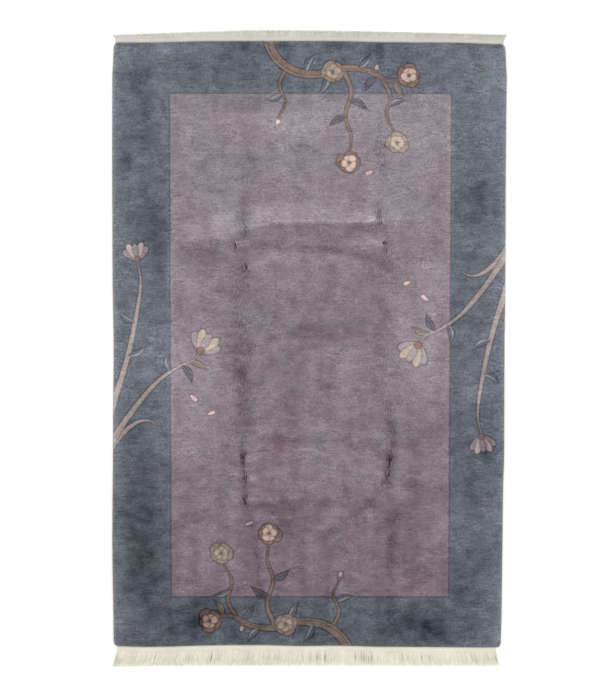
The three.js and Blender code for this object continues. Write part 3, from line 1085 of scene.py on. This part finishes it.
def tubeFaces(first, rings, sides):
    # walls between rings of points, and a cap at each end
    faces = []
    for start in range(first, first + (rings - 1) * sides, sides):
        for j in range(sides):
            a, b = start + j, start + (j + 1) % sides
            faces.append((a, b, b + sides, a + sides))
    last = first + (rings - 1) * sides
    return faces + [tuple(range(first, first + sides))[::-1], tuple(range(last, last + sides))]


def makeHeading(end, inner):
    # rows across the warp over a flat underside
    left, right = end["atPile"]
    way, rises = end["way"], fringe["headingRise"]
    waves, waveReach = fringe["edgeWaves"]
    along, across, bump = fringe["weave"]
    count = round((right - left) / fringe["headingStep"])
    points = []
    for i in range(count + 1):
        x = left + (right - left) * i / count
        depth = end["heading"] + noise.noise((x * waves, way, 2)) * waveReach
        for j, rise in enumerate(rises):
            y = inner(x) + way * depth * (j / (len(rises) - 1))
            points.append((x, y, rise + bump * noise.noise((x * along, j * across, 7))))
        points += [(x, inner(x) + way * depth, 0.0), (x, inner(x), 0.0)]
    return points, tubeFaces(0, count + 1, len(rises) + 2)


def makeFringe(end, outline):
    chance = np.random.default_rng(fringe["seed"])
    way = end["way"]
    pileEnd = outline[outline[:, 1] * way > fringe["endsBeyond"]]
    pileEnd = pileEnd[np.argsort(pileEnd[:, 0])]

    def inner(x):
        # where the heading meets the pile
        return np.interp(x, pileEnd[:, 0], pileEnd[:, 1]) + way * fringe["gap"]

    left, right = end["atPile"]
    points, faces = makeHeading(end, inner)
    tones = [fringe["headingTone"]] * len(points)

    # strands, in bundles that lean and part a little
    strands = round((right - left) / fringe["pitch"])
    bundleOf = np.cumsum(chance.random(strands) < 1 / fringe["bundle"])
    leans = chance.normal(0, end["lean"], bundleOf[-1] + 1)
    tipX, tipY = zip(*end["tips"])
    patches, least, usual, strength = fringe["partPatches"]
    liftLeast, liftMore, liftLost = fringe["lift"]
    broad, low = fringe["flatness"]
    sides = fringe["sides"]
    for k in range(strands):
        rootX = left + (right - left) * (k + 0.5) / strands
        middle = left + (right - left) * (np.mean(np.flatnonzero(bundleOf == bundleOf[k])) + 0.5) / strands
        endX = np.interp(rootX + (middle - rootX) * fringe["pull"], end["atPile"], end["atTips"])
        endX += leans[bundleOf[k]] + chance.normal(0, fringe["astray"])
        # painted shadow between two bundles, on the first strand of each
        firstOfBundle = k and bundleOf[k] != bundleOf[k - 1]
        parts = end["parting"] * chance.uniform(*fringe["partRange"]) if firstOfBundle else 0.0
        parts *= min(1, max(least, usual + strength * noise.noise((rootX * patches, way, 5))))
        own = chance.normal(0, fringe["ownTone"])
        short = abs(chance.normal(0, end["short"]))
        rootY = inner(rootX) + way * (end["heading"] - fringe["inHeading"])
        endY = np.interp(endX, tipX, tipY) - way * short
        sway, turn = chance.normal(0, fringe["sway"]), chance.uniform(*fringe["swayStart"])
        layer = chance.random()
        first = len(points)
        for share, radius in zip(fringe["stations"], fringe["radius"]):
            swayed = sway * math.sin(fringe["swayTurns"] * share + turn) * share
            x = rootX + (endX - rootX) * share ** fringe["bend"] + swayed
            y = rootY + (endY - rootY) * share
            lifted = liftLeast + liftMore * layer * (1 - liftLost * share)
            z = radius + lifted + fringe["wave"] * math.sin(fringe["waveTurns"] * share + turn) * share
            for side in range(sides):
                a = 2 * math.pi * side / sides
                points.append((x + radius * broad * math.cos(a), y, z + radius * low * math.sin(a)))
            pale = fringe["paleTone"] * np.interp(share, (fringe["paleFrom"], 1), (0, 1))
            tones += [own + pale - parts * np.interp(share, fringe["part"], fringe["partShares"])] * sides
        faces += tubeFaces(first, len(fringe["stations"]), sides)

    data = bpy.data.meshes.new(end["node"])
    data.from_pydata(points, [], faces)
    data.attributes.new("strand", "FLOAT", "POINT").data.foreach_set("value", np.array(tones, np.float32))
    shell = bmesh.new()
    shell.from_mesh(data)
    bmesh.ops.recalc_face_normals(shell, faces=shell.faces)
    shell.to_mesh(data)
    shell.free()
    print(end["node"], "strands:", strands, "faces:", len(faces))
    return data


for side, end in fringeEnds.items():
    cotton = makeCotton(side + "Cotton", end["shades"])
    piece = addPiece(f"{side}_cotton_fringe", makeFringe(end, rugFoot), [cotton])
    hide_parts(end["node"])

print("fringes made")
